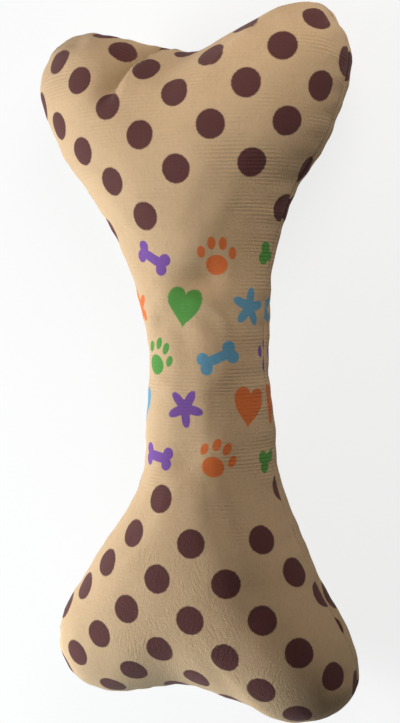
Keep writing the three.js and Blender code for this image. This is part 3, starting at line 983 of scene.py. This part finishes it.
def shaft_motifs(shader, front):
    """Share and colour of the small motifs in staggered rows along the shaft."""
    u, v = shader.uv("cloth")
    row, column, place = motif_cell(shader, u, v, front)
    place = tilted(shader, row, column, place)
    kinds = [draw(shader, *place) for draw in (paw, star, bone, heart)]
    kind = shader.math("FLOORED_MODULO", shader.math("ADD", row, shader.math("MULTIPLY", column, 2.0)), 4.0)
    hue = shader.math("FLOORED_MODULO", shader.math("ADD", shader.math("MULTIPLY", row, 3.0), column), 4.0)
    shape, colour = kinds[0], MOTIF_COLOURS[0]
    for k in (1, 2, 3):
        chosen = shader.math("COMPARE", kind, float(k), 0.2)
        apart = shader.math("SUBTRACT", kinds[k], shape)
        shape = shader.math("MULTIPLY_ADD", apart, chosen, shape)
        colour = shader.mix(shader.math("COMPARE", hue, float(k), 0.2), colour, MOTIF_COLOURS[k])
    fuzz = shader.noise(shader.combine(u, v), *CLOTH_NOISE["motif_edge"])
    shape = shader.math("MULTIPLY_ADD", fuzz, MOTIF_FUZZ, shader.math("SUBTRACT", shape, MOTIF_FUZZ / 2))
    inside = shader.ramp(shape, 1 + MOTIF_SOFTNESS, 1 - MOTIF_SOFTNESS)
    from_middle = shader.math("ABSOLUTE", shader.math("SUBTRACT", row, (MOTIF_ROWS - 1) / 2))
    on_shaft = shader.math("LESS_THAN", from_middle, MOTIF_ROWS / 2)
    end_row = shader.math("GREATER_THAN", from_middle, MOTIF_ROWS / 2 - 1)
    dotted_flank = shader.math("MULTIPLY", end_row, shader.math("LESS_THAN", column, FLANK_COLUMN))
    on_shaft = shader.math("SUBTRACT", on_shaft, dotted_flank)
    return shader.math("MULTIPLY", inside, shader.math("MAXIMUM", on_shaft, 0.0)), colour


def nap_strokes(shader, u, v, lean):
    """Fine strokes of the nap along the toy, leaning by an angle."""
    across = shader.math("MULTIPLY_ADD", v, -math.sin(lean), shader.math("MULTIPLY", u, math.cos(lean)))
    along = shader.math("MULTIPLY_ADD", u, math.sin(lean), shader.math("MULTIPLY", v, math.cos(lean)))
    stretched = shader.combine(across, shader.math("MULTIPLY", along, STROKE_STRETCH))
    return shader.noise(stretched, *CLOTH_NOISE["strokes"])


def ribs(shader, u, v):
    """Fine ribs across the cloth, a little wavy, that show in patches and less at the lower end."""
    streak = shader.combine(shader.math("MULTIPLY", u, RIB_STRETCH["sway"]), v)
    sway = shader.noise(streak, *CLOTH_NOISE["rib_sway"])
    turn = shader.math("MULTIPLY_ADD", v, 2 * math.pi / RIB_PITCH, shader.math("MULTIPLY", sway, RIB_SWAY))
    patch = shader.combine(shader.math("MULTIPLY", u, RIB_STRETCH["patches"]), v)
    shown = shader.ramp(shader.noise(patch, *CLOTH_NOISE["rib_patches"]), *RIB_PATCHES, *RIB_SHOWN)
    shown = shader.math("MULTIPLY", shown, shader.ramp(v, *LESS_BRUSHED, *RIB_BY_END))
    return shader.math("MULTIPLY", shader.math("MULTIPLY_ADD", shader.math("SINE", turn), 0.5, 0.5), shown)


def brushed_flecks(shader, u, v):
    """Strokes of the nap, brushed one way or the other in patches."""
    left, right = [nap_strokes(shader, u, v, lean) for lean in NAP_LEANS]
    brushed = shader.ramp(shader.noise(shader.combine(u, v), *CLOTH_NOISE["brushed"]), *NAP_PATCHES)
    return shader.math("MULTIPLY_ADD", shader.math("SUBTRACT", right, left), brushed, left)


def plush(name, front):
    """Short-pile knit: fine ribs across, strokes in the nap, painted shade in the crease, and printed dots
    and motifs with soft edges.
    """
    shader = Shader(name)
    u, v = shader.uv("cloth")
    cloth = shader.combine(u, v)
    rib = ribs(shader, u, v)
    nap = shader.noise(cloth, *CLOTH_NOISE["nap"])
    fleck = brushed_flecks(shader, u, v)
    worn = shader.noise(cloth, *CLOTH_NOISE["worn"])
    shade = shader.math("MULTIPLY_ADD", rib, SHADE["rib"], shader.math("MULTIPLY", fleck, SHADE["fleck"]))
    shade = shader.math("ADD", shade, shader.math("MULTIPLY", nap, SHADE["nap"]))
    shade = shader.math("ADD", shade, shader.math("MULTIPLY", worn, SHADE["worn"]))
    tan = shader.mix(shader.ramp(shade, *SHADE_RANGE), TAN_SHADE, TAN)
    # Painted shade: the tan darkens along the crease by the fold layer's share
    tan = shader.mix(shader.uv("fold")[0], tan, CREASE_PAINTED_SHADE)
    share, colour = shaft_motifs(shader, front)
    dyed = shader.mix(shader.math("MULTIPLY", share, MOTIF_STRENGTH), tan, colour)
    dark, light = [tuple(times * c for c in MAROON) for times in MAROON_RANGE]
    dyed = shader.mix(lattice_dots(shader, front), dyed, shader.mix(nap, dark, light))
    shader.set(Base_Color=dyed, Roughness=0.92, Sheen_Weight=0.1, Sheen_Roughness=0.45)
    shader.set(Sheen_Tint=SHEEN_TINT, Specular_IOR_Level=0.15)
    strokes = shader.math("MULTIPLY_ADD", fleck, shader.ramp(v, *LESS_BRUSHED, *STROKE_BY_END), nap)
    pile = shader.math("MULTIPLY_ADD", rib, RIB_DEPTH, strokes)
    shader.bump(pile, PILE_STRENGTH, PILE_HEIGHT * MM)
    return shader.material


def fibre():
    """Loose crimped polyester fibre."""
    shader = Shader("fibre_wad")
    place = shader.place()
    strand = shader.node("TexWave", wave_type="BANDS", bands_direction="DIAGONAL")
    shader.put(strand.inputs["Vector"], place)
    for key, value in (("Scale", 260.0), ("Distortion", 14.0), ("Detail", 4.0), ("Detail Scale", 1.6)):
        strand.inputs[key].default_value = value
    tuft = shader.noise(place, 190.0, 5.0, 0.7)
    mixed = shader.math("MULTIPLY_ADD", strand.outputs["Fac"], 0.5, shader.math("MULTIPLY", tuft, 0.6))
    shader.set(Base_Color=shader.mix(mixed, *FIBRE), Roughness=0.95, Sheen_Weight=0.3)
    shader.bump(mixed, 0.8, 0.9 * MM)
    return shader.material


def thread():
    """Twisted sewing thread."""
    shader = Shader("sewing_thread")
    place = shader.place()
    ply = shader.node("TexWave", wave_type="BANDS", bands_direction="DIAGONAL")
    shader.put(ply.inputs["Vector"], place)
    for key, value in (("Scale", 1100.0), ("Distortion", 1.5)):
        ply.inputs[key].default_value = value
    twist = ply.outputs["Fac"]
    shader.set(Base_Color=shader.mix(twist, *THREAD), Roughness=0.8, Sheen_Weight=0.2)
    shader.bump(twist, 0.6, 0.1 * MM)
    return shader.material


def moulded(name):
    """Moulded plastic with a faint mottle, uneven gloss and fine surface grain."""
    colours, roughness, grain, passing = PLASTICS[name]
    shader = Shader(name)
    place = shader.place()
    mottle = shader.noise(place, 120.0, 3.0)
    gloss = shader.noise(place, 300.0, 3.0)
    fine = shader.noise(place, 2400.0, 3.0, 0.6)
    shader.set(Base_Color=shader.mix(mottle, *colours), Transmission_Weight=passing)
    shader.set(Roughness=shader.ramp(gloss, 0.2, 0.8, *roughness))
    shader.bump(fine, grain, 0.05 * MM)
    return shader.material


def dress(piece, material):
    piece.data.materials.clear()
    piece.data.materials.append(material)


# Movement

def press_share(plan, places, lift):
    """How far each point goes down with the pressed wad: all of it over the squeaker, none at the seam."""
    distance = np.linalg.norm(places[:, :2] - plan.squeaker, axis=1)
    over = places[:, 2] - SEAM_HEIGHT + lift
    return (1 - smooth(distance, *PRESS_RADIUS)) * smooth(over, *PRESS_HEIGHT)


def follow_press(piece, plan, lift):
    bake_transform(piece)
    share = press_share(plan, vertex_places(piece.data), lift)


def place_piece(piece, material, nodes, body=None):
    dress(piece, material)
    if body:
        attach(piece, body)
    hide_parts(*nodes)


def build_cover(plan):
    stuffing = stuffed_swell(plan)
    front = panel("front_cover", plan, 1, stuffing)
    back = panel("back_cover", plan, -1, stuffing)
    follow_press(front, plan, 0)
    place_piece(front, plush("plush_front", True), ["front_panel"])
    place_piece(back, plush("plush_back", False), ["back_panel"], "toy")


def build_wads(plan):
    fluff = fibre()
    for number, node in enumerate(WADS):
        piece = wad(node, plan, WAD_SEED_STEP * number)
        body = "pressed_wad" if node == "front_pad" else "toy"
        if node == "fill_shaft":
            follow_press(piece, plan, FABRIC + WAD_GAP)
            body = None
        place_piece(piece, fluff, [node], body)


def build_threads(plan):
    sewing = thread()
    place_piece(machine_seam(plan), sewing, ["machine_seam_thread"], "toy")
    place_piece(closing_stitch(plan), sewing, ["closing_thread"], "toy")


def build_squeaker(plan):
    capsule_piece = bladder(plan)
    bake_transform(capsule_piece)
    place_piece(capsule_piece, moulded("soft_plastic"), ["squeaker_bladder"])
    hard = moulded("hard_plastic")
    for node in ("reed_tube", "reed_seat", "reed_wedge"):
        dress(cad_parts[node], hard)
    dress(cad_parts["reed"], moulded("reed_film"))


def build_toy():
    plan = Plan(STEPS)
    build_cover(plan)
    build_wads(plan)
    build_threads(plan)
    build_squeaker(plan)


# Studio

def build_floor():
    around = ((-1, -1), (1, -1), (1, 1), (-1, 1))
    corners = [(x * FLOOR_HALF, y * FLOOR_HALF, FLOOR_LEVEL) for x, y in around]
    floor = mesh_object("floor", corners, [[0, 1, 2, 3]])
    shader = Shader("pale_floor")
    grain = shader.noise(shader.place(), 40.0, 3.0)
    path = shader.node("LightPath")
    seen = shader.math("MAXIMUM", path.outputs["Is Camera Ray"], path.outputs["Is Glossy Ray"])
    seen = shader.math("MAXIMUM", seen, path.outputs["Is Transmission Ray"])
    dull, pale = shader.mix(grain, *FLOOR_DULL), shader.mix(grain, *FLOOR_PALE)
    shader.set(Base_Color=shader.mix(seen, dull, pale), Roughness=0.9)
    glow = shader.node("Emission")
    both = shader.node("MixShader")
    away = shader.node("VectorMath", operation="LENGTH")
    shader.put(away.inputs[0], shader.place())
    glow_share = shader.ramp(away.outputs["Value"], *FLOOR_FADE, *FLOOR_GLOW)
    shader.put(both.inputs[0], shader.math("MULTIPLY", seen, glow_share))
    shader.put(both.inputs[1], shader.surface.outputs[0])
    shader.put(both.inputs[2], glow.outputs[0])
    shader.put(shader.tree.nodes["Material Output"].inputs["Surface"], both.outputs[0])
    dress(floor, shader.material)


def area_light(name, place, aim, size, watts, tint):
    light = bpy.data.lights.new(name, "AREA")
    light.color = tint
    light.size = size
    light.energy = watts
    lamp = bpy.data.objects.new(name, light)
    lamp.location = place
    lamp.rotation_euler = (Vector(aim) - Vector(place)).to_track_quat("-Z", "Y").to_euler()
    bpy.context.scene.collection.objects.link(lamp)


def build_light():
    for name, light in LIGHTS.items():
        area_light(name, **light)
    world = bpy.data.worlds.new("studio")
    world.use_nodes = True
    nodes, links = world.node_tree.nodes, world.node_tree.links
    sky = nodes["Background"]
    sky.inputs["Color"].default_value = (1, 1, 1, 1)
    sky.inputs["Strength"].default_value = WORLD_STRENGTH
    backdrop = nodes.new("ShaderNodeBackground")
    backdrop.inputs["Color"].default_value = (1, 1, 1, 1)
    path, both = nodes.new("ShaderNodeLightPath"), nodes.new("ShaderNodeMixShader")
    seen = path.outputs["Is Camera Ray"]
    for ray in ("Is Glossy Ray", "Is Transmission Ray"):
        larger = nodes.new("ShaderNodeMath")
        larger.operation = "MAXIMUM"
        links.new(seen, larger.inputs[0])
        links.new(path.outputs[ray], larger.inputs[1])
        seen = larger.outputs[0]
    for source, socket in zip((seen, sky.outputs[0], backdrop.outputs[0]), both.inputs):
        links.new(source, socket)
    links.new(both.outputs[0], nodes["World Output"].inputs["Surface"])
    bpy.context.scene.world = world


def build_camera():
    right, up, roll = [math.radians(a) for a in (CAMERA_RIGHT, CAMERA_UP, CAMERA_ROLL)]
    towards = Vector((math.sin(right) * math.cos(up), math.sin(up), math.cos(right) * math.cos(up)))
    level = Vector((0, 1, 0)).cross(towards).normalized()
    upright = towards.cross(level)
    across = level * math.cos(roll) - upright * math.sin(roll)
    upward = level * math.sin(roll) + upright * math.cos(roll)
    aim = Vector((*CAMERA_AIM, SEAM_HEIGHT)) * MM
    camera = bpy.data.cameras.new("camera")
    camera.sensor_fit = "VERTICAL"
    camera.sensor_height = SENSOR
    camera.lens = SENSOR * PIXELS_PER_MM * CAMERA_DISTANCE / FRAME_HEIGHT
    camera.clip_start = 0.01
    holder = bpy.data.objects.new("camera", camera)
    turn = Matrix((across, upward, towards)).transposed().to_4x4()
    holder.matrix_world = Matrix.Translation(aim + towards * CAMERA_DISTANCE * MM) @ turn
    bpy.context.scene.collection.objects.link(holder)
    bpy.context.scene.camera = holder


bpy.context.scene.view_settings.view_transform = "Standard"
build_camera()
build_toy()
build_floor()
build_light()
